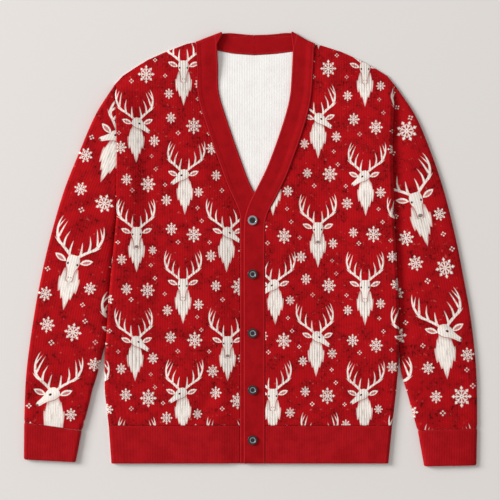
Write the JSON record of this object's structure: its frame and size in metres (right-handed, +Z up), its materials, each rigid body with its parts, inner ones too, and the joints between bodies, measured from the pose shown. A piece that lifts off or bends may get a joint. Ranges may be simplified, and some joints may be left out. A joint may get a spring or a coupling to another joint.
{
  "type": "knitted cardigan laid flat",
  "caption": "Long-sleeved knitted V-neck cardigan with ribbed hem, cuffs and front bands, buttoned and laid flat on its back.",
  "frame": {"origin": "on the floor, midway between the cuffs and midway from the lowest to the highest edge of the garment", "axes": "+Z up from the floor, out of the buttoned front; +X towards the wearer's left sleeve; +Y from the hem to the neck"},
  "size_m": [0.7696, 0.7379, 0.0107],
  "materials": {
    "printed_knit": "fine ribbed knit, red with a cream print",
    "band_knit": "plain red knit",
    "rib_trim": "plain red ribbed knit",
    "button": "semi-gloss black"
  },
  "bodies": {
    "root": {"back_panel": "printed_knit", "hem_back": "rib_trim", "front_right": "printed_knit", "front_left": "printed_knit", "hem_front_right": "rib_trim", "hem_front_left": "rib_trim", "sleeve_right": "printed_knit", "sleeve_left": "printed_knit", "cuff_right": "rib_trim", "cuff_left": "rib_trim", "band_right": "band_knit", "band_left": "band_knit", "button_1": "button", "button_2": "button", "button_3": "button", "button_4": "button", "button_5": "button"}
  },
  "joints": []
}
